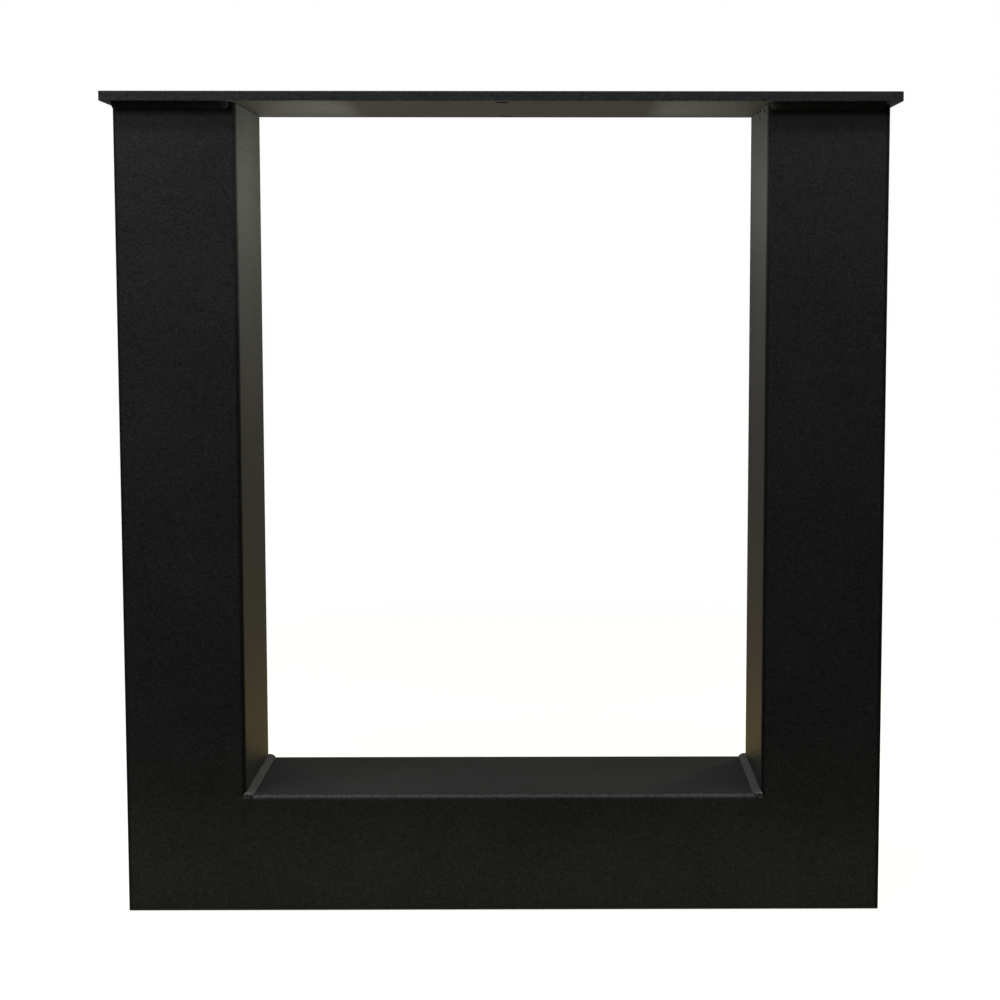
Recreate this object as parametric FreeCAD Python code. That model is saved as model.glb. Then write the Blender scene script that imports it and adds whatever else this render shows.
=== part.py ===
import FreeCAD, Part
import math
import os

# U shaped table leg: two upright square tubes and a base rail, mitred and welded,
# under a flat mounting plate. Millimetres. X runs along the plate, Y through the
# tube, Z up, and the origin is on the floor below the middle of the plate.

# Overall sizes
LEG_WIDTH = 630.0
LEG_HEIGHT = 680.0

# Square tube
TUBE_SIZE = 100.0
TUBE_WALL = 3.0
TUBE_CORNER_RADIUS = 4.5

# Mounting plate
PLATE_THICKNESS = 8.0
PLATE_OVERHANG = 8.0
PLATE_EDGE_BREAK = 0.4
SCREW_HOLE_DIAMETER = 10.0
SCREW_HOLE_INSET = 10.0

# Open joint between the top of an upright and the plate, bridged by the fillet welds
JOINT_GAP = 1.0

# Fillet welds under the plate, along the front and the back of each upright. Their ends
# are given as distances inside the left and right sides of the upright.
PLATE_WELD_DROP = 6.5
PLATE_WELD_BARE_EDGE = 1.5
PLATE_WELD_ROOT = 1.5
LEFT_PLATE_WELD_ENDS = (0.0, 5.5)
RIGHT_PLATE_WELD_ENDS = (2.0, 4.3)

# Fillet welds in the inner corners of the U, laid flat along the rail
CORNER_WELD_RAIL_LEG = 8.5
CORNER_WELD_UPRIGHT_LEG = 2.5
CORNER_WELD_BACKING = 3.2
CORNER_WELD_PROUD = 0.8

# What all the fillet welds share: how far the face is crowned, and how the ends run out
WELD_CROWN = 0.6
WELD_TAPER = 4.0
WELD_END_SHARE = 0.75

# Butt welds along the mitres, ground flush
MITRE_ROOT_FACE = 0.5
MITRE_BEVEL = 30.0
CORNER_GROUND_RADIUS = 1.5

# How far cutting shapes run past what they cut
CUT_MARGIN = 20.0

# Places worked out from the sizes
HALF_WIDTH = LEG_WIDTH / 2
HALF_TUBE = TUBE_SIZE / 2
PLATE_UNDERSIDE = LEG_HEIGHT - PLATE_THICKNESS
UPRIGHT_TOP = PLATE_UNDERSIDE - JOINT_GAP
PLATE_LENGTH = LEG_WIDTH + 2 * PLATE_OVERHANG
PLATE_DEPTH = TUBE_SIZE + 2 * PLATE_OVERHANG
UPRIGHT_X = HALF_WIDTH - HALF_TUBE
X_AXIS = FreeCAD.Vector(1, 0, 0)
Y_AXIS = FreeCAD.Vector(0, 1, 0)
Z_AXIS = FreeCAD.Vector(0, 0, 1)
ORIGIN = FreeCAD.Vector(0, 0, 0)


def point(x, y, z):
    return FreeCAD.Vector(x, y, z)


def rounded_square(size, radius):
    """A square outline in the XY plane about the origin, with round corners."""
    half = size / 2
    if radius <= 0:
        corners = [(-half, -half), (half, -half), (half, half), (-half, half), (-half, -half)]
        return Part.makePolygon([point(x, y, 0) for x, y in corners])
    edges = []
    straight = half - radius
    for quarter in range(4):
        side = Part.makeLine(point(-straight, -half, 0), point(straight, -half, 0))
        centre = point(straight, -straight, 0)
        corner = Part.makeCircle(radius, centre, Z_AXIS, -90, 0)
        for edge in (side, corner):
            edge.rotate(ORIGIN, Z_AXIS, 90 * quarter)
            edges.append(edge)
    return Part.Wire(Part.__sortEdges__(edges))


def tube_core(depth, length):
    """All that lies deeper than a depth in a length of tube, standing on the XY plane.

    A depth of nothing gives the tube's outer shape, and the wall's depth gives its hollow.
    """
    outline = rounded_square(TUBE_SIZE - 2 * depth, TUBE_CORNER_RADIUS - depth)
    return Part.Face(outline).extrude(point(0, 0, length))


def placed_upright(shape):
    """Moves a shape from the XY origin to the left upright's place."""
    shape = shape.copy()
    shape.translate(point(-UPRIGHT_X, 0, 0))
    return shape


def placed_rail(shape):
    """Lays a standing shape down along +X, from the left outside of the leg."""
    shape = shape.copy()
    shape.rotate(ORIGIN, Y_AXIS, 90)
    shape.translate(point(-HALF_WIDTH, 0, HALF_TUBE))
    return shape


def mirrored(shape):
    """The same shape on the right hand side of the leg."""
    return shape.mirror(ORIGIN, X_AXIS)


def prism_along_y(corners, y_start, y_end):
    """A straight prism whose outline is given by (x, z) corners."""
    outline = [point(x, y_start, z) for x, z in corners]
    face = Part.Face(Part.makePolygon(outline + outline[:1]))
    return face.extrude(point(0, y_end - y_start, 0))


def left_mitre_side(above):
    """The space above or below the left mitre plane, for cutting a tube's end."""
    low = (-HALF_WIDTH - CUT_MARGIN, -CUT_MARGIN)
    high = (-HALF_WIDTH + TUBE_SIZE + CUT_MARGIN, TUBE_SIZE + CUT_MARGIN)
    third = (low[0], high[1]) if above else (high[0], low[1])
    return prism_along_y([low, high, third], -HALF_TUBE - CUT_MARGIN, HALF_TUBE + CUT_MARGIN)


def upright_core(depth):
    """The left upright's tube core at a depth, cut to its mitre."""
    return placed_upright(tube_core(depth, UPRIGHT_TOP)).cut(left_mitre_side(above=False))


def rail_core(depth):
    """The base rail's tube core at a depth, cut to its two mitres."""
    spare = left_mitre_side(above=True)
    return placed_rail(tube_core(depth, LEG_WIDTH)).cut(spare).cut(mirrored(spare))


def ground_corner():
    """The sliver that grinding takes off the outer bottom corner of the left mitre."""
    radius = CORNER_GROUND_RADIUS
    block = Part.makeBox(radius, TUBE_SIZE, radius, point(-HALF_WIDTH, -HALF_TUBE, 0))
    centre = point(-HALF_WIDTH + radius, -HALF_TUBE, radius)
    return block.cut(Part.makeCylinder(radius, TUBE_SIZE, centre, Y_AXIS))


def groove_along(start, end, outward, depth):
    """A V groove whose root lies from start to end and which opens outward."""
    along = (end - start).normalize()
    sideways = along.cross(outward).normalize()
    reach = depth + CUT_MARGIN
    spread = sideways * (reach * math.tan(math.radians(MITRE_BEVEL)))
    mouth = start + outward * reach
    face = Part.Face(Part.makePolygon([start, mouth + spread, mouth - spread, start]))
    return face.extrude(end - start)


def left_mitre_groove():
    """The bevelled space along the left mitre: front, outer corner and back."""
    depth = TUBE_WALL - MITRE_ROOT_FACE
    outer = point(-HALF_WIDTH, 0, 0)
    inner = outer + point(TUBE_SIZE, 0, TUBE_SIZE)
    diagonal = (inner - outer).normalize()
    front = point(0, -HALF_TUBE + depth, 0)
    back = point(0, HALF_TUBE - depth, 0)
    corner_root = outer + diagonal * (depth * math.sqrt(2))
    groove = groove_along(outer + front, inner + front, -Y_AXIS, depth)
    groove = groove.fuse(groove_along(outer + back, inner + back, Y_AXIS, depth))
    across = groove_along(
        corner_root - point(0, HALF_TUBE, 0), corner_root + point(0, HALF_TUBE, 0), -diagonal, depth
    )
    return groove.fuse(across)


def mitre_weld(frame_wall):
    """The butt weld of the left mitre, flush with the tubes round it."""
    return frame_wall.common(left_mitre_groove())


def weld_outline(leg_out, leg_down, backing, along):
    """A fillet weld's section at one place along its length, crowned outwards.

    The root of the weld is the origin, the section reaches leg_out along +Y and
    leg_down along -Z, and behind the two legs it is backed, to fill a round corner.
    """
    toe_out = point(along, leg_out, 0)
    toe_down = point(along, 0, -leg_down)
    slope = math.hypot(leg_out, leg_down)
    crown = point(0, leg_down / slope, -leg_out / slope) * WELD_CROWN
    middle = (toe_out + toe_down) * 0.5 + crown
    back_low = point(along, -backing, -leg_down)
    back_high = point(along, -backing, 0)
    edges = [Part.Arc(toe_out, middle, toe_down).toShape()]
    edges += [Part.makeLine(toe_down, back_low), Part.makeLine(back_low, back_high)]
    edges += [Part.makeLine(back_high, toe_out)]
    return Part.Wire(edges)


def fillet_bead(leg_out, leg_down, backing, start, end):
    """A fillet weld along X under a flat plate, tapered where it starts and stops."""
    small = WELD_END_SHARE
    outlines = [
        weld_outline(leg_out * small, leg_down * small, backing, start),
        weld_outline(leg_out, leg_down, backing, start + WELD_TAPER),
        weld_outline(leg_out, leg_down, backing, end - WELD_TAPER),
        weld_outline(leg_out * small, leg_down * small, backing, end),
    ]
    return Part.makeLoft(outlines, True, True)


def plate_weld(upright_outside, middle_x, ends):
    """The front and back fillet welds that join one upright to the plate's underside."""
    inside_left, inside_right = ends
    leg_out = PLATE_OVERHANG - PLATE_WELD_BARE_EDGE
    back = fillet_bead(
        leg_out, PLATE_WELD_DROP, TUBE_CORNER_RADIUS,
        inside_left - HALF_TUBE, HALF_TUBE - inside_right,
    )
    back.translate(point(middle_x, HALF_TUBE, PLATE_UNDERSIDE))
    open_joint = tube_core(PLATE_WELD_ROOT, JOINT_GAP)
    open_joint.translate(point(middle_x, 0, UPRIGHT_TOP))
    back = back.cut(upright_outside).cut(open_joint)
    return Part.makeCompound([back.mirror(ORIGIN, Y_AXIS), back])


def corner_outline(share, y):
    """A share of the inner corner weld's section at one y, backed to fill the tubes' round edges."""
    corner = point(TUBE_SIZE - HALF_WIDTH, y, TUBE_SIZE)
    inwards = point(-CORNER_WELD_BACKING, 0, -CORNER_WELD_BACKING)
    toe_out = corner + point(CORNER_WELD_RAIL_LEG * share, 0, 0)
    toe_up = corner + point(0, 0, CORNER_WELD_UPRIGHT_LEG * share)
    outwards = point(CORNER_WELD_UPRIGHT_LEG, 0, CORNER_WELD_RAIL_LEG).normalize()
    middle = (toe_out + toe_up) * 0.5 + outwards * WELD_CROWN
    back = [toe_up, toe_up + inwards, corner + inwards, toe_out + inwards, toe_out]
    edges = [Part.Arc(toe_out, middle, toe_up).toShape()]
    edges += [Part.makeLine(a, b) for a, b in zip(back, back[1:])]
    return Part.Wire(edges)


def corner_weld(frame_outside):
    """The fillet weld in the left inner corner, just proud of the front and back faces."""
    end = HALF_TUBE + CORNER_WELD_PROUD
    outlines = [
        corner_outline(WELD_END_SHARE, -end),
        corner_outline(1, -end + WELD_TAPER),
        corner_outline(1, end - WELD_TAPER),
        corner_outline(WELD_END_SHARE, end),
    ]
    return Part.makeLoft(outlines, True, True).cut(frame_outside)


def mounting_plate():
    """The flat bar that closes the top, with a screw hole at the middle of each long edge."""
    corner = point(-PLATE_LENGTH / 2, -PLATE_DEPTH / 2, PLATE_UNDERSIDE)
    plate = Part.makeBox(PLATE_LENGTH, PLATE_DEPTH, PLATE_THICKNESS, corner)
    plate = plate.makeChamfer(PLATE_EDGE_BREAK, plate.Edges)
    for side in (-1, 1):
        place = point(0, side * (PLATE_DEPTH / 2 - SCREW_HOLE_INSET), PLATE_UNDERSIDE)
        plate = plate.cut(Part.makeCylinder(SCREW_HOLE_DIAMETER / 2, PLATE_THICKNESS, place))
    return plate


def leg_parts():
    """Every piece of the leg by name."""
    upright_outside = upright_core(0)
    rail_outside = rail_core(0)
    ground = ground_corner()
    upright = upright_outside.cut(upright_core(TUBE_WALL)).cut(ground)
    rail = rail_outside.cut(rail_core(TUBE_WALL)).cut(ground).cut(mirrored(ground))
    weld_left = mitre_weld(upright.fuse(rail))
    upright = upright.cut(weld_left)
    rail = rail.cut(weld_left).cut(mirrored(weld_left))
    corner_bead = corner_weld(upright_outside.fuse(rail_outside))
    return {
        "mounting_plate": mounting_plate(),
        "left_upright": upright,
        "right_upright": mirrored(upright),
        "base_rail": rail,
        "left_plate_weld": plate_weld(upright_outside, -UPRIGHT_X, LEFT_PLATE_WELD_ENDS),
        "right_plate_weld": plate_weld(mirrored(upright_outside), UPRIGHT_X, RIGHT_PLATE_WELD_ENDS),
        "left_corner_weld": corner_bead,
        "right_corner_weld": mirrored(corner_bead),
        "left_mitre_weld": weld_left,
        "right_mitre_weld": mirrored(weld_left),
    }


def main():
    os.makedirs("parts", exist_ok=True)
    for name, shape in leg_parts().items():
        shape.exportStep(os.path.join("parts", name + ".step"))
        print(name, "solids", len(shape.Solids), "valid", shape.isValid(), "mm3", round(shape.Volume, 1))


main()
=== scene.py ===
import math

import bmesh
import bpy
from mathutils import Matrix, Vector


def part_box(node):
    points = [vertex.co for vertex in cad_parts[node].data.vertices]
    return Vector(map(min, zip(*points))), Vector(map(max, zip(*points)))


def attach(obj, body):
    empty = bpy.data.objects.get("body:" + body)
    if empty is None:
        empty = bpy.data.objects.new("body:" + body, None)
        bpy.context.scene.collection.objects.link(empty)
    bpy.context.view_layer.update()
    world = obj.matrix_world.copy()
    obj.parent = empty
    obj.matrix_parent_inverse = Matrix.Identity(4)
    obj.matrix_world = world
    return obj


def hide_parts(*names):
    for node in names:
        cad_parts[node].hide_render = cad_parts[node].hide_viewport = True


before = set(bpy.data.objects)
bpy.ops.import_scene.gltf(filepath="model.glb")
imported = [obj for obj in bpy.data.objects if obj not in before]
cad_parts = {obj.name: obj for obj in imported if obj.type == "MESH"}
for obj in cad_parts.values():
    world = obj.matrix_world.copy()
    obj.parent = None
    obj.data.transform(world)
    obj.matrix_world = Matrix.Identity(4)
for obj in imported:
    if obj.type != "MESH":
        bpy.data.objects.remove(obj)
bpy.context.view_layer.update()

bl_info = {
    "name": "U Shaped Table Leg",
    "version": (1, 0, 0),
    "blender": (4, 5, 0),
    "location": "3D View > Sidebar > Table Leg",
    "description": "Powder coat, weld beads and a plain studio for a welded steel table leg",
    "category": "Object",
}

MM = 0.001
BODY = "root"

# Pieces of the frame that keep their own mesh and only get a finish
TUBE_NODES = ("left_upright", "right_upright", "base_rail", "left_mitre_weld", "right_mitre_weld")
PLATE_NODES = ("mounting_plate",)

# Corners of the frame's pieces, from which the welds take their sizes and places
PLATE_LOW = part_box("mounting_plate")[0]
RAIL_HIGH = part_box("base_rail")[1]
UPRIGHT_LOW, UPRIGHT_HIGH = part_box("left_upright")
PLATE_WELD_BOXES = {side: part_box(f"{side}_plate_weld") for side in ("left", "right")}
CORNER_WELD_LOW, CORNER_WELD_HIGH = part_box("left_corner_weld")


class Socket:
    """One output of a node. Python arithmetic on it adds Math nodes."""

    def __init__(self, nodes, output):
        self.nodes = nodes
        self.output = output

    def maths(self, operation, *values):
        return self.nodes.add("ShaderNodeMath", {"operation": operation}, dict(enumerate(values)))

    def beside(self, name):
        """Another output of the same node."""
        return Socket(self.nodes, self.output.node.outputs[name])

    def smaller(self, other):
        return self.maths("MINIMUM", self, other)

    def larger(self, other):
        return self.maths("MAXIMUM", self, other)

    def __add__(self, other):
        return self.maths("ADD", self, other)

    __radd__ = __add__

    def __sub__(self, other):
        return self.maths("SUBTRACT", self, other)

    def __rsub__(self, other):
        return self.maths("SUBTRACT", other, self)

    def __mul__(self, other):
        return self.maths("MULTIPLY", self, other)

    __rmul__ = __mul__

    def __truediv__(self, other):
        return self.maths("DIVIDE", self, other)

    def __rtruediv__(self, other):
        return self.maths("DIVIDE", other, self)

    def __pow__(self, other):
        return self.maths("POWER", self, other)


class Nodes:
    """Writes a node tree: a material's, the world's or a geometry tree."""

    def __init__(self, tree):
        self.tree = tree
        tree.nodes.clear()

    def add(self, kind, settings=None, inputs=None, output=0):
        """Adds a node of a type, with its settings first and then its inputs' values or links."""
        node = self.tree.nodes.new(kind)
        for name, value in (settings or {}).items():
            if name == "captured":
                node.capture_items.new(*value)
            else:
                setattr(node, name, value)
        for key, value in (inputs or {}).items():
            self.feed(find_socket(node.inputs, key), value)
        return Socket(self, find_socket(node.outputs, output)) if node.outputs else None

    def feed(self, target, value):
        if isinstance(value, Socket):
            self.tree.links.new(value.output, target)
        else:
            target.default_value = value


def find_socket(sockets, key):
    """A node's socket by its number, identifier or name."""
    if isinstance(key, int):
        return sockets[key]
    for socket in sockets:
        if socket.identifier == key:
            return socket
    return sockets[key]


# Settings that a user would change

class CoatSettings(bpy.types.PropertyGroup):
    """The powder coat on the steel, with painted light and shade on some pieces and on round edges.
    """

    colour: bpy.props.FloatVectorProperty(
        name="Colour", description="Colour of the coat", subtype="COLOR", size=3,
        min=0.0, max=1.0, default=(0.0105, 0.0105, 0.0108),
    )
    # Painted light: the plate's coat is made lighter than the tubes' same coat, as light falls on
    # it
    plate_painted_light: bpy.props.FloatProperty(
        name="Plate Painted Light", description="Brightness of the plate beside the tubes",
        min=0.1, max=3.0, default=1.15,
    )
    # Painted shade: the welds under the plate are darkened as the plate's overhang shades them
    plate_weld_painted_shade: bpy.props.FloatProperty(
        name="Plate Weld Painted Shade", description="Brightness of the welds under the plate",
        min=0.1, max=3.0, default=0.4,
    )
    # Painted highlight: the corner welds are made lighter where light catches them
    corner_weld_painted_highlight: bpy.props.FloatProperty(
        name="Corner Weld Painted Highlight", description="Brightness of the welds in the inner corners",
        min=0.1, max=4.0, default=2.8,
    )
    # Painted shade: the uprights' round vertical edges are darkened, as the light misses them
    upright_edge_painted_shade: bpy.props.FloatProperty(
        name="Upright Edge Painted Shade", description="Brightness of the upright tubes' round edges",
        min=0.0, max=3.0, default=0.3,
    )
    # Painted highlight: round edges that lie level are lightened, as the light catches them
    level_edge_painted_highlight: bpy.props.FloatProperty(
        name="Level Edge Painted Highlight", description="Brightness of the round edges that lie level",
        min=0.0, max=6.0, default=3.2,
    )
    roughness: bpy.props.FloatProperty(
        name="Roughness", description="How matt the coat is", subtype="FACTOR",
        min=0.05, max=1.0, default=0.75,
    )
    shine: bpy.props.FloatProperty(
        name="Shine", description="How much the coat mirrors face on", subtype="FACTOR",
        min=0.0, max=1.0, default=0.012,
    )
    grain_size: bpy.props.FloatProperty(
        name="Grain Size", description="Size of the coat's fine texture", unit="LENGTH",
        min=0.2 * MM, max=5 * MM, default=1.7 * MM,
    )
    grain_contrast: bpy.props.FloatProperty(
        name="Grain Contrast", description="How far the fine texture lightens and darkens",
        subtype="FACTOR", min=0.0, max=1.0, default=0.5,
    )
    grain_height: bpy.props.FloatProperty(
        name="Grain Height", description="Height of the coat's fine texture", unit="LENGTH",
        min=0.0, max=0.6 * MM, default=0.2 * MM,
    )
    peel_size: bpy.props.FloatProperty(
        name="Peel Size", description="Size of the coat's orange peel", unit="LENGTH",
        min=1 * MM, max=40 * MM, default=9 * MM,
    )
    peel_height: bpy.props.FloatProperty(
        name="Peel Height", description="Height of the coat's orange peel", unit="LENGTH",
        min=0.0, max=0.5 * MM, default=0.04 * MM,
    )


class WeldSettings(bpy.types.PropertyGroup):
    """The fillet welds under the plate and in the inner corners."""

    ripple_spacing: bpy.props.FloatProperty(
        name="Ripple Spacing", description="Distance from ripple to ripple", unit="LENGTH",
        min=0.5 * MM, max=5 * MM, default=1.5 * MM,
    )
    ripple_height: bpy.props.FloatProperty(
        name="Ripple Height", description="Height of the ripples under the coat", unit="LENGTH",
        min=0.0, max=0.6 * MM, default=0.2 * MM,
    )
    crown: bpy.props.FloatProperty(
        name="Crown", description="How far the face of a weld bulges", unit="LENGTH",
        min=0.0, max=2 * MM, default=0.6 * MM,
    )
    waviness: bpy.props.FloatProperty(
        name="Waviness", description="How far a weld's toes wander", unit="LENGTH",
        min=0.0, max=2 * MM, default=0.8 * MM,
    )
    taper: bpy.props.FloatProperty(
        name="Taper", description="Length over which a weld's ends run out", unit="LENGTH",
        min=0.5 * MM, max=20 * MM, default=4 * MM,
    )
    drop_size: bpy.props.FloatProperty(
        name="Drop Size", description="Radius of the drops of spatter", unit="LENGTH",
        min=0.2 * MM, max=3 * MM, default=1.4 * MM,
    )
    knob_size: bpy.props.FloatProperty(
        name="Knob Size", description="Radius of the drop at the start of a corner bead",
        unit="LENGTH", min=0.2 * MM, max=5 * MM, default=2.2 * MM,
    )
    seed: bpy.props.IntProperty(
        name="Seed", description="Changes how the welds wander", min=0, max=1000, default=5,
    )


class StageSettings(bpy.types.PropertyGroup):
    """The camera, the lamps and the floor."""

    camera_side: bpy.props.FloatProperty(
        name="Camera Side", description="Camera's place to the right of the middle",
        unit="LENGTH", default=0.038,
    )
    camera_back: bpy.props.FloatProperty(
        name="Camera Distance", description="Camera's distance in front of the middle",
        unit="LENGTH", default=1.218,
    )
    camera_height: bpy.props.FloatProperty(
        name="Camera Height", description="Camera's height above the floor", unit="LENGTH",
        default=0.527,
    )
    camera_turn: bpy.props.FloatProperty(
        name="Camera Turn", description="Turn of the camera to the right", subtype="ANGLE",
        default=0.0060,
    )
    camera_tilt: bpy.props.FloatProperty(
        name="Camera Tilt", description="Tilt of the camera upwards", subtype="ANGLE",
        default=-0.0683,
    )
    focal_length: bpy.props.FloatProperty(
        name="Focal Length", description="Focal length in millimetres", min=10.0, max=300.0,
        default=51.5,
    )
    shift_x: bpy.props.FloatProperty(
        name="Shift Across", description="Sideways shift of the picture", default=-0.0577,
    )
    shift_y: bpy.props.FloatProperty(
        name="Shift Up", description="Upward shift of the picture", default=-0.12,
    )
    floor_radius: bpy.props.FloatProperty(
        name="Floor Radius", description="Radius of the round floor", unit="LENGTH",
        min=1.0, max=50.0, default=12.0,
    )
    floor_colour: bpy.props.FloatVectorProperty(
        name="Floor Colour", description="Colour of the floor", subtype="COLOR", size=3,
        min=0.0, max=1.0, default=(0.2, 0.18, 0.13),
    )
    ambient: bpy.props.FloatProperty(
        name="Ambient", description="Strength of the light from all round", min=0.0, max=2.0,
        default=0.04,
    )
    ambient_colour: bpy.props.FloatVectorProperty(
        name="Ambient Colour", description="Colour of the light from all round", subtype="COLOR",
        size=3, min=0.0, max=1.0, default=(0.86, 0.93, 1.0),
    )
    strip_power: bpy.props.FloatProperty(
        name="Strip Lamp", description="Power of the long lamp just before the plate",
        unit="POWER", min=0.0, max=1000.0, default=15.2,
    )
    front_power: bpy.props.FloatProperty(
        name="Front Lamp", description="Power of the long lamp further to the front",
        unit="POWER", min=0.0, max=1000.0, default=11.4,
    )
    left_power: bpy.props.FloatProperty(
        name="Left Lamp", description="Power of the lamp at the front on the left",
        unit="POWER", min=0.0, max=1000.0, default=7.2,
    )
    panel_power: bpy.props.FloatProperty(
        name="Side Panels", description="Power of the panel far behind on the right",
        unit="POWER", min=0.0, max=1000.0, default=28.0,
    )
    under_power: bpy.props.FloatProperty(
        name="Under Lamps", description="Power of the left lamp for the plate's underside",
        unit="POWER", min=0.0, max=1000.0, default=1.1,
    )
    inner_power: bpy.props.FloatProperty(
        name="Inner Lamps", description="Power of the left lamp high up in the opening",
        unit="POWER", min=0.0, max=1000.0, default=0.92,
    )
    plate_power: bpy.props.FloatProperty(
        name="Plate Lamp", description="Power of the lamp below the middle of the plate",
        unit="POWER", min=0.0, max=1000.0, default=0.5,
    )
    low_power: bpy.props.FloatProperty(
        name="Low Lamp", description="Power of the lamp on the floor before the base",
        unit="POWER", min=0.0, max=1000.0, default=0.22,
    )
    floor_power: bpy.props.FloatProperty(
        name="Floor Lamp", description="Power of the lamp on the floor behind the base",
        unit="POWER", min=0.0, max=1000.0, default=3.0,
    )
    front_colour: bpy.props.FloatVectorProperty(
        name="Front Colour", description="Colour of the strip, front and left lamps",
        subtype="COLOR", size=3, min=0.0, max=1.0, default=(0.94, 0.98, 1.0),
    )
    panel_colour: bpy.props.FloatVectorProperty(
        name="Panel Colour", description="Colour of the side panels",
        subtype="COLOR", size=3, min=0.0, max=1.0, default=(1.0, 0.96, 0.5),
    )
    under_colour: bpy.props.FloatVectorProperty(
        name="Under Colour", description="Colour of the lamps for the plate's underside",
        subtype="COLOR", size=3, min=0.0, max=1.0, default=(1.0, 0.88, 0.74),
    )
    inner_colour: bpy.props.FloatVectorProperty(
        name="Inner Colour", description="Colour of the lamps high up in the opening",
        subtype="COLOR", size=3, min=0.0, max=1.0, default=(0.96, 1.0, 0.88),
    )
    low_colour: bpy.props.FloatVectorProperty(
        name="Low Colour", description="Colour of the lamp before the base",
        subtype="COLOR", size=3, min=0.0, max=1.0, default=(1.0, 0.94, 0.6),
    )
    floor_lamp_colour: bpy.props.FloatVectorProperty(
        name="Floor Lamp Colour", description="Colour of the lamp behind the base",
        subtype="COLOR", size=3, min=0.0, max=1.0, default=(1.0, 0.69, 0.13),
    )


# Powder coat

# A noise's usual lowest value and range
NOISE_LOW = 0.3
NOISE_SPAN = 0.4

# Slow patches over the coat, and their share of its lightness beside the grain's
PATCH_SIZE = 90 * MM
PATCH_SHARE = 0.25

# How far the patches and the grain change the roughness
PATCH_ROUGHNESS = 0.04
GRAIN_ROUGHNESS = 0.16

# How closely the painted shade on the uprights' round edges and the painted highlight on level
# round edges keep to the middle of the round
PAINTED_SHADE_FOCUS = 2.0
PAINTED_HIGHLIGHT_FOCUS = 4.0


def tinted(colour, shade):
    """A colour made lighter or darker, as a shader takes it."""
    return tuple(channel * shade for channel in colour) + (1.0,)


def powder_coat(name, coat, shade, seed):
    """Black powder coat with a fine grain over a slow orange peel. Its shade makes the whole coat
    lighter or darker as painted light or shade, and round edges get painted shade or a painted
    highlight by the way they face.
    """
    material = bpy.data.materials.new(name)
    material.use_nodes = True
    nodes = Nodes(material.node_tree)
    place = nodes.add("ShaderNodeTexCoord", output="Object")

    def noise(size, detail):
        """A noise of a feature size, stretched to run from 0 to 1."""
        inputs = {"Vector": place, "W": seed, "Scale": 1.0 / size, "Detail": detail}
        raw = nodes.add("ShaderNodeTexNoise", {"noise_dimensions": "4D"}, inputs, "Fac")
        return ((raw - NOISE_LOW) / NOISE_SPAN).larger(0.0).smaller(1.0)

    patches = noise(PATCH_SIZE, detail=3.0)
    peel = noise(coat.peel_size, detail=1.0)
    grain = noise(coat.grain_size, detail=2.0)
    colour = nodes.add(
        "ShaderNodeMix", {"data_type": "RGBA"},
        {
            "Factor_Float": patches * PATCH_SHARE + grain * (1.0 - PATCH_SHARE),
            "A_Color": tinted(coat.colour, (1.0 - coat.grain_contrast) * shade),
            "B_Color": tinted(coat.colour, (1.0 + coat.grain_contrast) * shade),
        },
        "Result_Color",
    )
    facing = nodes.add("ShaderNodeNewGeometry", output="Normal")
    facing = nodes.add("ShaderNodeSeparateXYZ", None, {"Vector": facing}, "X")
    across, through, up = (facing.beside(axis) for axis in "XYZ")
    # Painted shade on round edges between a side and the front or back, and a painted highlight on
    # round edges between the top and the front or back, chosen by the way the surface faces
    painted_shade_mask = (across * through * 2.0) ** PAINTED_SHADE_FOCUS
    painted_highlight_mask = (through * up * 2.0) ** PAINTED_HIGHLIGHT_FOCUS
    for edge, painted_edge_light in (
        (painted_shade_mask, coat.upright_edge_painted_shade), (painted_highlight_mask, coat.level_edge_painted_highlight),
    ):
        colour = nodes.add(
            "ShaderNodeVectorMath", {"operation": "SCALE"},
            {"Vector": colour, "Scale": 1.0 + edge * (painted_edge_light - 1.0)}, "Vector",
        )
    roughness = (
        coat.roughness + (patches - 0.5) * PATCH_ROUGHNESS + (grain - 0.5) * GRAIN_ROUGHNESS
    )
    height = peel * coat.peel_height + grain * coat.grain_height
    normal = nodes.add("ShaderNodeBump", None, {"Strength": 1.0, "Distance": 1.0, "Height": height})
    surface = nodes.add(
        "ShaderNodeBsdfPrincipled", None,
        {
            "Base Color": colour,
            "Roughness": roughness,
            "Specular IOR Level": coat.shine,
            "Normal": normal,
        },
    )
    nodes.add("ShaderNodeOutputMaterial", None, {"Surface": surface})
    return material


def cad_node(name):
    """The frame's object of a name."""
    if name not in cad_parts:
        raise RuntimeError(f"the frame has no node named {name}")
    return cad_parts[name]


def finish_nodes(names, material):
    """Gives some of the frame's own pieces a finish."""
    for name in names:
        for holder in cad_node(name).material_slots:
            holder.material = material


# Weld beads

# Steps of the mesh along a bead, over its face and round the root behind it
BEAD_STEP = 0.25 * MM
FACE_STEPS = 22
HIDDEN_STEPS = 3

# A bead's ends: how far the legs shrink, and how the section closes to a small cap
END_SHARE = 0.75
END_ROUND = 1.6 * MM
END_PINCH = 0.08
END_CENTRE = 0.35

# Lengths over which the toes and the ripples wander
OUTER_TOE_WAVE = 9 * MM
LOWER_TOE_WAVE = 11 * MM
RIPPLE_WAVE = 5 * MM

# Ripples: how far their spacing wanders, how they bow over the face, and the level they swing about
RIPPLE_WANDER = 0.6
RIPPLE_BOW = 1.1
RIPPLE_LEVEL = 0.6

# How far the beads reach into the steel behind them
PLATE_BACKING = 4.5 * MM
PLATE_BITE = 0.2 * MM
CORNER_BACKING = 3.2 * MM

# Share of the corner weld's leg along the rail that shows as weld
CORNER_REACH = 0.78

# Steps between the seeds of the two sides, and from a side's plate beads to its corner bead
SIDE_SEED_STEP = 10
CORNER_SEED_STEP = 5

# Creases sharper than this stay sharp
SHARP_ANGLE = math.radians(55)

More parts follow.
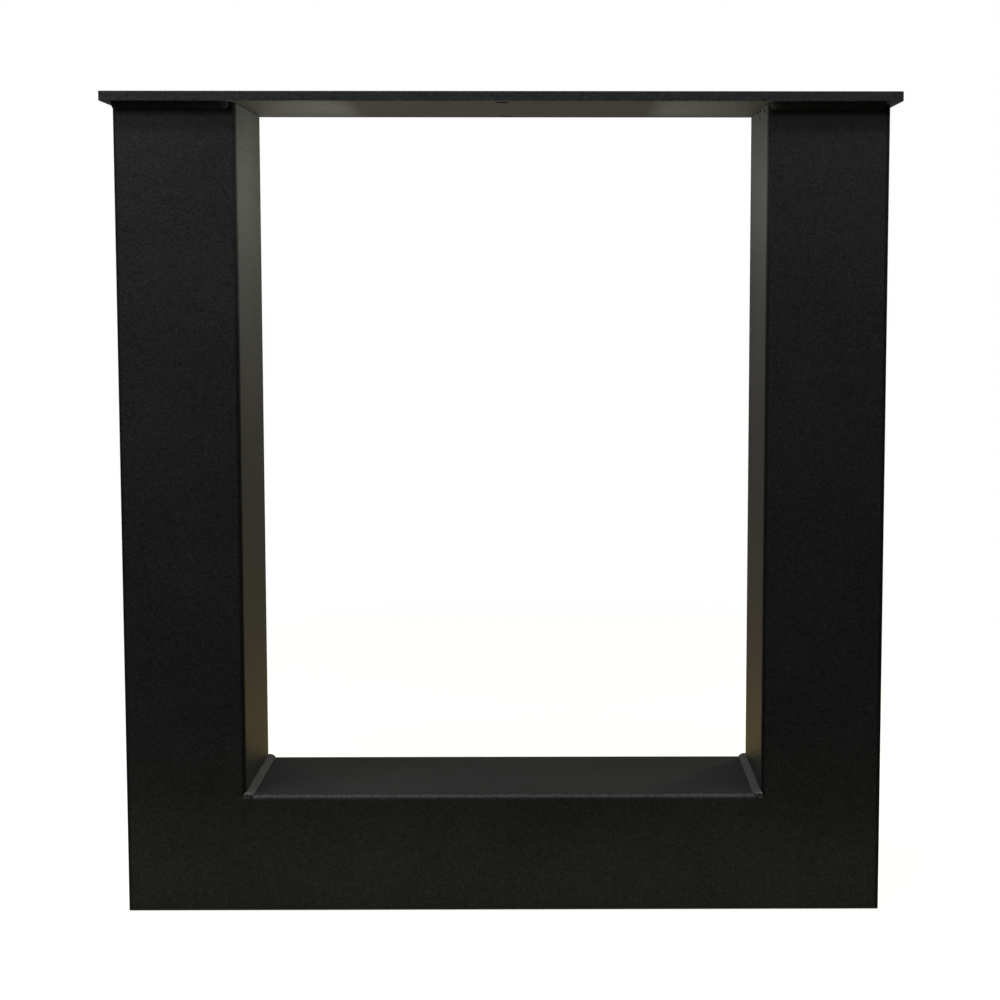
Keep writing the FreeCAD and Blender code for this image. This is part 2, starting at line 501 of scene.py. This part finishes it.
# Drops of weld metal: how their sizes differ, how flat they lie and how fine their mesh is
DROP_SPREAD = 0.2
DROP_FLATNESS = 0.6
DROP_FINENESS = 4

# Depth and height of the drops of spatter on the right upright's inner face
SPATTER = (
    (-11 * MM, 669.3 * MM), (3 * MM, 669.7 * MM), (-8 * MM, 663.6 * MM), (-32.5 * MM, 667.4 * MM),
)


def bead_inputs():
    """The geometry tree's named inputs, each with its socket type."""
    return {
        "Length": "NodeSocketFloat",
        "Leg Out": "NodeSocketFloat",
        "Leg Down": "NodeSocketFloat",
        "Backing Out": "NodeSocketFloat",
        "Backing Down": "NodeSocketFloat",
        "Crown": "NodeSocketFloat",
        "Taper": "NodeSocketFloat",
        "Ripple Spacing": "NodeSocketFloat",
        "Ripple Height": "NodeSocketFloat",
        "Waviness": "NodeSocketFloat",
        "Seed": "NodeSocketFloat",
        "Finish": "NodeSocketMaterial",
    }


def bead_tree():
    """A geometry tree that lays one rippled fillet weld along +X.

    Its root is the X axis. One leg reaches out along +Y and the other down along -Z.
    """
    tree = bpy.data.node_groups.new("fillet_weld_bead", "GeometryNodeTree")
    for name, kind in bead_inputs().items():
        tree.interface.new_socket(name=name, in_out="INPUT", socket_type=kind)
    tree.interface.new_socket(name="Geometry", in_out="OUTPUT", socket_type="NodeSocketGeometry")
    nodes = Nodes(tree)
    given = nodes.add("NodeGroupInput")
    length = given.beside("Length")
    seed = given.beside("Seed")

    path = nodes.add("GeometryNodeCurvePrimitiveLine")
    path = nodes.add(
        "GeometryNodeResampleCurve", None, {"Curve": path, "Count": length / BEAD_STEP},
    )
    along = nodes.add("GeometryNodeSplineParameter", output="Factor")
    path = nodes.add(
        "GeometryNodeCaptureAttribute", {"captured": ("FLOAT", "along")}, {0: path, 1: along},
    )
    along = path.beside("along") * length
    ring = nodes.add(
        "GeometryNodeCurvePrimitiveCircle", None, {"Resolution": FACE_STEPS + HIDDEN_STEPS + 1},
    )
    count = nodes.add("GeometryNodeInputIndex")
    ring = nodes.add(
        "GeometryNodeCaptureAttribute", {"captured": ("FLOAT", "round")}, {0: ring, 1: count},
    )
    count = ring.beside("round")
    skin = nodes.add(
        "GeometryNodeCurveToMesh", None,
        {"Curve": path, "Profile Curve": ring, "Fill Caps": True},
    )

    def wander(size, shift):
        """A slow uneven wave along the weld, about -1 to 1."""
        place = nodes.add("ShaderNodeCombineXYZ", None, {"X": along / size, "Y": shift})
        inputs = {"Vector": place, "W": seed, "Scale": 1.0, "Detail": 2.0}
        wave = nodes.add("ShaderNodeTexNoise", {"noise_dimensions": "4D"}, inputs, "Fac")
        return (wave - 0.5) * 3.0

    from_end = along.smaller(length - along)
    tapered = (from_end / given.beside("Taper")).smaller(1.0)
    share = END_SHARE + (1.0 - END_SHARE) * tapered
    waviness = given.beside("Waviness") * tapered
    drawn_in = 0.5 + 0.5 * wander(OUTER_TOE_WAVE, shift=2.0)
    leg_out = given.beside("Leg Out") * share - waviness * drawn_in
    leg_down = given.beside("Leg Down") * share + waviness * wander(LOWER_TOE_WAVE, shift=7.0)
    rounding = 1.0 - (from_end / END_ROUND).smaller(1.0)
    pinch = (1.0 - rounding * rounding).larger(0.0) ** 0.5
    pinch = END_PINCH + (1.0 - END_PINCH) * pinch

    across = (count / FACE_STEPS).smaller(1.0)
    bulge = 4.0 * across * (1.0 - across)
    unevenness = RIPPLE_WANDER * wander(RIPPLE_WAVE, shift=11.0)
    phase = along / given.beside("Ripple Spacing") + unevenness - RIPPLE_BOW * bulge
    ripple = (phase * math.pi).maths("SINE", phase * math.pi)
    ripple = ripple.maths("ABSOLUTE", ripple)
    ripple = (ripple - RIPPLE_LEVEL) * given.beside("Ripple Height") * bulge ** 0.5
    lift = bulge * given.beside("Crown") + ripple
    slope = (leg_out * leg_out + leg_down * leg_down) ** 0.5
    face_out = (1.0 - across) * leg_out + lift * leg_down / slope
    face_down = across * leg_down + lift * leg_out / slope

    def chosen(step, value, otherwise):
        """A value for one step round the section, and another for the rest."""
        here = count.maths("COMPARE", count, step, 0.5)
        return here * value + (1.0 - here) * otherwise

    back_out = given.beside("Backing Out")
    back_down = given.beside("Backing Down")
    out = chosen(FACE_STEPS + 1, -1.0 * back_out, face_out)
    out = chosen(FACE_STEPS + 2, -1.0 * back_out, out)
    out = chosen(FACE_STEPS + 3, leg_out - back_out, out)
    down = chosen(FACE_STEPS + 1, leg_down - back_down, face_down)
    down = chosen(FACE_STEPS + 2, -1.0 * back_down, down)
    down = chosen(FACE_STEPS + 3, -1.0 * back_down, down)
    middle_out = (leg_out - back_out) * END_CENTRE
    middle_down = (leg_down - back_down) * END_CENTRE
    out = middle_out + (out - middle_out) * pinch
    down = middle_down + (down - middle_down) * pinch
    place = nodes.add("ShaderNodeCombineXYZ", None, {"X": along, "Y": out, "Z": -1.0 * down})
    skin = nodes.add("GeometryNodeSetPosition", None, {"Geometry": skin, "Position": place})
    skin = nodes.add("GeometryNodeRealizeInstances", None, {"Geometry": skin})
    skin = nodes.add(
        "GeometryNodeSetMaterial", None, {"Geometry": skin, "Material": given.beside("Finish")},
    )
    nodes.add("NodeGroupOutput", None, {"Geometry": skin})
    return tree


def spatter_tree():
    """A geometry tree that sets a flat drop on each point of its mesh, each of its own size."""
    tree = bpy.data.node_groups.new("weld_spatter", "GeometryNodeTree")
    for name, kind in (
        ("Geometry", "NodeSocketGeometry"), ("Smallest", "NodeSocketFloat"),
        ("Largest", "NodeSocketFloat"), ("Flatness", "NodeSocketFloat"),
        ("Seed", "NodeSocketInt"), ("Finish", "NodeSocketMaterial"),
    ):
        tree.interface.new_socket(name=name, in_out="INPUT", socket_type=kind)
    tree.interface.new_socket(name="Geometry", in_out="OUTPUT", socket_type="NodeSocketGeometry")
    nodes = Nodes(tree)
    given = nodes.add("NodeGroupInput")
    points = nodes.add("GeometryNodeMeshToPoints", None, {"Mesh": given})
    drop = nodes.add(
        "GeometryNodeMeshIcoSphere", None, {"Radius": 1.0, "Subdivisions": DROP_FINENESS},
    )
    size = nodes.add(
        "FunctionNodeRandomValue", {"data_type": "FLOAT"},
        {
            "Min_001": given.beside("Smallest"),
            "Max_001": given.beside("Largest"),
            "Seed": given.beside("Seed"),
        },
        "Value_001",
    )
    scale = nodes.add(
        "ShaderNodeCombineXYZ", None, {"X": size * given.beside("Flatness"), "Y": size, "Z": size},
    )
    drops = nodes.add(
        "GeometryNodeInstanceOnPoints", None, {"Points": points, "Instance": drop, "Scale": scale},
    )
    drops = nodes.add("GeometryNodeRealizeInstances", None, {"Geometry": drops})
    drops = nodes.add(
        "GeometryNodeSetMaterial", None, {"Geometry": drops, "Material": given.beside("Finish")},
    )
    nodes.add("NodeGroupOutput", None, {"Geometry": drops})
    return tree


def grown_mesh(tree, values, points=()):
    """The plain mesh that a geometry tree gives for some inputs, on a mesh of some points."""
    start = bpy.data.meshes.new("start")
    start.from_pydata(points, [], [])
    holder = bpy.data.objects.new("holder", start)
    bpy.context.scene.collection.objects.link(holder)
    modifier = holder.modifiers.new("grow", "NODES")
    modifier.node_group = tree
    for item in tree.interface.items_tree:
        if item.in_out == "INPUT" and item.name in values:
            modifier[item.identifier] = values[item.name]
    view_layer = bpy.context.evaluated_depsgraph_get()
    mesh = bpy.data.meshes.new_from_object(holder.evaluated_get(view_layer), depsgraph=view_layer)
    bpy.data.objects.remove(holder)
    bpy.data.meshes.remove(start)
    return mesh


def bead_place(root, out, down):
    """The matrix that lays a bead's root at a point, with its legs the two given ways."""
    out = Vector(out)
    up = -Vector(down)
    along = out.cross(up)
    turn = Matrix((along, out, up)).transposed().to_4x4()
    return Matrix.Translation(root) @ turn


def weld_piece(name, replaced, beads, finish):
    """Joins some placed bead meshes into one piece that stands for a node of the frame."""
    joined = bmesh.new()
    for mesh, place in beads:
        mesh.transform(place)
        joined.from_mesh(mesh)
        bpy.data.meshes.remove(mesh)
    bmesh.ops.recalc_face_normals(joined, faces=joined.faces)
    for face in joined.faces:
        face.smooth = True
    whole = bpy.data.meshes.new(name)
    joined.to_mesh(whole)
    joined.free()
    whole.materials.clear()
    whole.materials.append(finish)
    whole.set_sharp_from_angle(angle=SHARP_ANGLE)
    piece = bpy.data.objects.new(name, whole)
    bpy.context.scene.collection.objects.link(piece)
    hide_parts(replaced)
    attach(piece, BODY)
    return piece


def bead_values(weld, finish, **sizes):
    """Inputs for the bead tree that all the welds share, with one bead's own sizes."""
    values = {
        "Crown": weld.crown,
        "Taper": weld.taper,
        "Ripple Spacing": weld.ripple_spacing,
        "Ripple Height": weld.ripple_height,
        "Waviness": weld.waviness,
        "Finish": finish,
    }
    values.update({name.replace("_", " ").title(): size for name, size in sizes.items()})
    return values


# Operators, one for each kind of piece

class CoatTubes(bpy.types.Operator):
    """Finishes the tubes and their flush mitre welds in powder coat, with painted shade on the
    uprights' round edges and a painted highlight on level round edges
    """

    bl_idname = "table_leg.coat_tubes"
    bl_label = "Coat Tubes"
    bl_options = {"REGISTER", "UNDO"}

    def execute(self, context):
        coat = context.scene.table_leg_coat
        finish = powder_coat("tube_powder_coat", coat, shade=1.0, seed=1.0)
        finish_nodes(TUBE_NODES, finish)
        return {"FINISHED"}


class CoatPlate(bpy.types.Operator):
    """Finishes the mounting plate in powder coat, painted lighter than the tubes as light falls on
    it
    """

    bl_idname = "table_leg.coat_plate"
    bl_label = "Coat Plate"
    bl_options = {"REGISTER", "UNDO"}

    def execute(self, context):
        coat = context.scene.table_leg_coat
        # The plate's coat, with painted light that makes it lighter than the tubes
        finish = powder_coat("plate_powder_coat", coat, shade=coat.plate_painted_light, seed=2.0)
        finish_nodes(PLATE_NODES, finish)
        return {"FINISHED"}


class LayWelds(bpy.types.Operator):
    """Lays the rippled fillet welds under the plate and in the inner corners, with painted shade on
    the plate welds and a painted highlight on the corner welds
    """

    bl_idname = "table_leg.lay_welds"
    bl_label = "Lay Welds"
    bl_options = {"REGISTER", "UNDO"}

    def plate_beads(self, weld, tree, finish, side, seed):
        """The front and back beads between one upright and the plate."""
        low, high = PLATE_WELD_BOXES[side]
        beads = []
        for number, (out, start_x) in enumerate(((-1, high.x), (1, low.x))):
            values = bead_values(
                weld, finish,
                length=high.x - low.x,
                leg_out=UPRIGHT_LOW.y - low.y,
                leg_down=PLATE_LOW.z - low.z,
                backing_out=PLATE_BACKING,
                backing_down=PLATE_BITE,
                seed=float(seed + number),
            )
            root = Vector((start_x, out * UPRIGHT_HIGH.y, PLATE_LOW.z))
            beads.append((grown_mesh(tree, values), bead_place(root, (0, out, 0), (0, 0, -1))))
        return beads

    def corner_bead(self, weld, tree, finish, side, seed):
        """The bead in one inner corner of the U, from front to back."""
        leg = (CORNER_WELD_HIGH.x - UPRIGHT_HIGH.x) * CORNER_REACH
        values = bead_values(
            weld, finish,
            length=CORNER_WELD_HIGH.y - CORNER_WELD_LOW.y,
            leg_out=leg,
            leg_down=CORNER_WELD_HIGH.z - RAIL_HIGH.z,
            backing_out=CORNER_BACKING,
            backing_down=CORNER_BACKING,
            seed=float(seed),
        )
        inward = 1 if side == "left" else -1
        start_y = CORNER_WELD_LOW.y if side == "left" else CORNER_WELD_HIGH.y
        root = Vector((inward * UPRIGHT_HIGH.x, start_y, RAIL_HIGH.z))
        return grown_mesh(tree, values), bead_place(root, (inward, 0, 0), (0, 0, 1))

    def drops(self, weld, tree, finish, size, points):
        """Drops of weld metal of about a radius, flat against faces that look along X."""
        values = {
            "Smallest": size * (1.0 - DROP_SPREAD),
            "Largest": size * (1.0 + DROP_SPREAD),
            "Flatness": DROP_FLATNESS,
            "Seed": weld.seed,
            "Finish": finish,
        }
        return grown_mesh(tree, values, points)

    def spatter(self, weld, tree, finish):
        """The drops that the right weld threw on the upright's inner face, where they stick."""
        points = [(0, y, z) for y, z in SPATTER]
        mesh = self.drops(weld, tree, finish, weld.drop_size, points)
        return mesh, Matrix.Translation((-UPRIGHT_HIGH.x, 0, 0))

    def knob(self, weld, tree, finish, side):
        """The drop at a corner bead's front end, turned so that it lies flat on the leg's front."""
        inward = 1 if side == "left" else -1
        corner = Vector((inward * UPRIGHT_HIGH.x, UPRIGHT_LOW.y, RAIL_HIGH.z))
        mesh = self.drops(weld, tree, finish, weld.knob_size, [(0, 0, 0)])
        return mesh, Matrix.Translation(corner) @ Matrix.Rotation(math.pi / 2, 4, "Z")

    def execute(self, context):
        weld = context.scene.table_leg_welds
        coat = context.scene.table_leg_coat
        tree = bead_tree()
        drop_tree = spatter_tree()
        # The welds under the plate get a copy of the coat with painted shade from the plate above
        painted_shade_weld_coat = powder_coat(
            "plate_weld_powder_coat", coat, shade=coat.plate_weld_painted_shade, seed=3.0,
        )
        # The corner welds get a copy of the coat with a painted highlight
        painted_highlight_weld_coat = powder_coat(
            "corner_weld_powder_coat", coat, shade=coat.corner_weld_painted_highlight, seed=4.0,
        )
        for number, side in enumerate(("left", "right")):
            seed = weld.seed + SIDE_SEED_STEP * number
            beads = self.plate_beads(weld, tree, painted_shade_weld_coat, side, seed)
            if side == "right":
                # The drops of spatter take the plate welds' coat, with its painted shade
                beads.append(self.spatter(weld, drop_tree, painted_shade_weld_coat))
            weld_piece(f"{side}_plate_beads", f"{side}_plate_weld", beads, painted_shade_weld_coat)
            # The corner bead and its knob take the corner welds' coat, with its painted highlight
            beads = [
                self.corner_bead(weld, tree, painted_highlight_weld_coat, side, seed + CORNER_SEED_STEP),
                self.knob(weld, drop_tree, painted_highlight_weld_coat, side),
            ]
            weld_piece(f"{side}_corner_bead", f"{side}_corner_weld", beads, painted_highlight_weld_coat)
        return {"FINISHED"}


# The floor: how far it lies below the leg, its rim, its glow, and where it fades to white
FLOOR_DROP = 0.2 * MM
FLOOR_SIDES = 96
FLOOR_GLOW = 0.88
FADE_START = 0.5
FADE_LENGTH = 0.7
PLAIN_WHITE = (1, 1, 1, 1)

# Each lamp: its name, the setting for its power, its share of that power, its length and width,
# its place, the point it is aimed at, and the setting for its colour
LAMPS = (
    ("strip_lamp", "strip_power", 1.0, (2.4, 0.06), (-0.2, -0.22, 1.15), (-0.2, 0, 0.4),
     "front_colour"),
    ("front_lamp", "front_power", 1.0, (2.4, 0.1), (-0.2, -0.42, 1.15), (-0.2, 0, 0.4),
     "front_colour"),
    ("left_lamp", "left_power", 1.0, (0.8, 0.1), (-0.9, -0.6, 1.15), (-0.9, 0, 0.4),
     "front_colour"),
    ("right_panel", "panel_power", 1.0, (0.3, 0.4), (1.2, 1.0, 0.75), (1.2, 0, 0.6),
     "panel_colour"),
    ("left_panel", "panel_power", 0.35, (0.3, 0.4), (-1.2, 1.0, 0.75), (-1.2, 0, 0.6),
     "panel_colour"),
    ("right_under_lamp", "under_power", 0.5, (0.15, 0.15), (0.28, 0.3, 0.45), (0.28, 0, 0.68),
     "under_colour"),
    ("left_under_lamp", "under_power", 1.0, (0.15, 0.15), (-0.28, 0.3, 0.45), (-0.28, 0, 0.68),
     "under_colour"),
    ("right_inner_lamp", "inner_power", 0.8, (0.1, 0.04), (0.1, 0, 0.62), (0.2, 0, 0.58),
     "inner_colour"),
    ("left_inner_lamp", "inner_power", 1.0, (0.1, 0.04), (-0.1, 0, 0.62), (-0.2, 0, 0.58),
     "inner_colour"),
    ("plate_lamp", "plate_power", 1.0, (0.3, 0.04), (0, 0, 0.55), (0, 0, 1), "under_colour"),
    ("low_lamp", "low_power", 1.0, (0.8, 0.03), (-0.05, -0.12, 0.02), (-0.05, 0, 0.05),
     "low_colour"),
    ("floor_lamp", "floor_power", 1.0, (0.3, 0.2), (0, 0.3, 0.01), (0, 0.3, 1),
     "floor_lamp_colour"),
)


class SetStage(bpy.types.Operator):
    """Sets up the floor, the lamps, the world and the camera"""

    bl_idname = "table_leg.set_stage"
    bl_label = "Set Stage"
    bl_options = {"REGISTER", "UNDO"}

    def seen(self, nodes):
        """1 where a ray shows the background to the eye, directly or in a reflection."""
        camera = nodes.add("ShaderNodeLightPath", output="Is Camera Ray")
        glossy = camera.beside("Is Glossy Ray")
        through = camera.beside("Is Transmission Ray")
        return camera.larger(glossy).larger(through)

    def make_world(self, scene, stage):
        world = bpy.data.worlds.new("studio")
        world.use_nodes = True
        nodes = Nodes(world.node_tree)
        light = nodes.add(
            "ShaderNodeBackground", None,
            {"Color": tinted(stage.ambient_colour, 1.0), "Strength": stage.ambient},
        )
        white = nodes.add("ShaderNodeBackground", None, {"Color": PLAIN_WHITE, "Strength": 1.0})
        mixed = nodes.add("ShaderNodeMixShader", None, {0: self.seen(nodes), 1: light, 2: white})
        nodes.add("ShaderNodeOutputWorld", None, {"Surface": mixed})
        scene.world = world

    def floor_material(self, stage):
        """A pale floor that fades to plain white away from the leg, and keeps its shadow.

        From below it is clear, so that the leg's underside can be seen.
        """
        material = bpy.data.materials.new("floor")
        material.use_nodes = True
        nodes = Nodes(material.node_tree)
        pale = nodes.add("ShaderNodeBsdfDiffuse", None, {"Color": tinted(stage.floor_colour, 1.0)})
        white = nodes.add("ShaderNodeEmission", None, {"Color": PLAIN_WHITE, "Strength": 1.0})
        glow = nodes.add("ShaderNodeEmission", None, {"Color": PLAIN_WHITE, "Strength": FLOOR_GLOW})
        lit = nodes.add("ShaderNodeAddShader", None, {0: pale, 1: glow})
        place = nodes.add("ShaderNodeTexCoord", output="Object")
        distance = nodes.add("ShaderNodeVectorMath", {"operation": "LENGTH"}, {0: place}, "Value")
        far = ((distance - FADE_START) / FADE_LENGTH).larger(0.0).smaller(1.0)
        shown = nodes.add("ShaderNodeMixShader", None, {0: far, 1: lit, 2: white})
        mixed = nodes.add("ShaderNodeMixShader", None, {0: self.seen(nodes), 1: pale, 2: shown})
        below = nodes.add("ShaderNodeNewGeometry", output="Backfacing")
        clear = nodes.add("ShaderNodeBsdfTransparent")
        mixed = nodes.add("ShaderNodeMixShader", None, {0: below, 1: mixed, 2: clear})
        nodes.add("ShaderNodeOutputMaterial", None, {"Surface": mixed})
        return material

    def make_floor(self, scene, stage):
        disc = bmesh.new()
        bmesh.ops.create_circle(
            disc, cap_ends=True, segments=FLOOR_SIDES, radius=stage.floor_radius,
        )
        mesh = bpy.data.meshes.new("floor")
        disc.to_mesh(mesh)
        disc.free()
        mesh.transform(Matrix.Translation((0, 0, -FLOOR_DROP)))
        mesh.materials.append(self.floor_material(stage))
        floor = bpy.data.objects.new("floor", mesh)
        scene.collection.objects.link(floor)

    def make_lamp(self, scene, name, power, size, place, aim, colour):
        """A lamp of a level length and a width, at one point and aimed at another."""
        lamp = bpy.data.lights.new(name, "AREA")
        lamp.shape = "RECTANGLE"
        lamp.size, lamp.size_y = size
        lamp.energy = power
        lamp.color = colour
        holder = bpy.data.objects.new(name, lamp)
        holder.location = place
        towards = Vector(aim) - Vector(place)
        holder.rotation_euler = towards.to_track_quat("-Z", "Y").to_euler()
        holder.visible_camera = False
        scene.collection.objects.link(holder)

    def make_camera(self, scene, stage):
        lens = bpy.data.cameras.new("camera")
        lens.lens = stage.focal_length
        lens.shift_x = stage.shift_x
        lens.shift_y = stage.shift_y
        camera = bpy.data.objects.new("camera", lens)
        camera.location = (stage.camera_side, -stage.camera_back, stage.camera_height)
        camera.rotation_euler = (math.pi / 2 + stage.camera_tilt, 0, -stage.camera_turn)
        scene.collection.objects.link(camera)
        scene.camera = camera

    def execute(self, context):
        scene = context.scene
        stage = scene.table_leg_stage
        self.make_world(scene, stage)
        self.make_floor(scene, stage)
        for name, power, share, size, place, aim, colour in LAMPS:
            power = getattr(stage, power) * share
            self.make_lamp(scene, name, power, size, place, aim, getattr(stage, colour))
        self.make_camera(scene, stage)
        scene.view_settings.view_transform = "Standard"
        return {"FINISHED"}


class TableLegPanel(bpy.types.Panel):
    """Lists the steps that dress the table leg, with their settings"""

    bl_idname = "VIEW3D_PT_table_leg"
    bl_label = "U Shaped Table Leg"
    bl_space_type = "VIEW_3D"
    bl_region_type = "UI"
    bl_category = "Table Leg"

    def draw(self, context):
        scene = context.scene
        for title, settings, operators in (
            ("Coat", scene.table_leg_coat, (CoatTubes, CoatPlate)),
            ("Welds", scene.table_leg_welds, (LayWelds,)),
            ("Stage", scene.table_leg_stage, (SetStage,)),
        ):
            box = self.layout.box()
            box.label(text=title)
            for name in settings.__annotations__:
                box.prop(settings, name)
            for operator in operators:
                box.operator(operator.bl_idname)


SETTINGS = {
    "table_leg_coat": CoatSettings,
    "table_leg_welds": WeldSettings,
    "table_leg_stage": StageSettings,
}
OPERATORS = (CoatTubes, CoatPlate, LayWelds, SetStage)


def register():
    for settings in SETTINGS.values():
        bpy.utils.register_class(settings)
    for operator in OPERATORS:
        bpy.utils.register_class(operator)
    bpy.utils.register_class(TableLegPanel)
    for name, settings in SETTINGS.items():
        setattr(bpy.types.Scene, name, bpy.props.PointerProperty(type=settings))


def unregister():
    for name in SETTINGS:
        delattr(bpy.types.Scene, name)
    bpy.utils.unregister_class(TableLegPanel)
    for operator in reversed(OPERATORS):
        bpy.utils.unregister_class(operator)
    for settings in reversed(SETTINGS.values()):
        bpy.utils.unregister_class(settings)


def main():
    register()
    bpy.ops.table_leg.coat_tubes()
    bpy.ops.table_leg.coat_plate()
    bpy.ops.table_leg.lay_welds()
    bpy.ops.table_leg.set_stage()


if __name__ == "__main__":
    main()
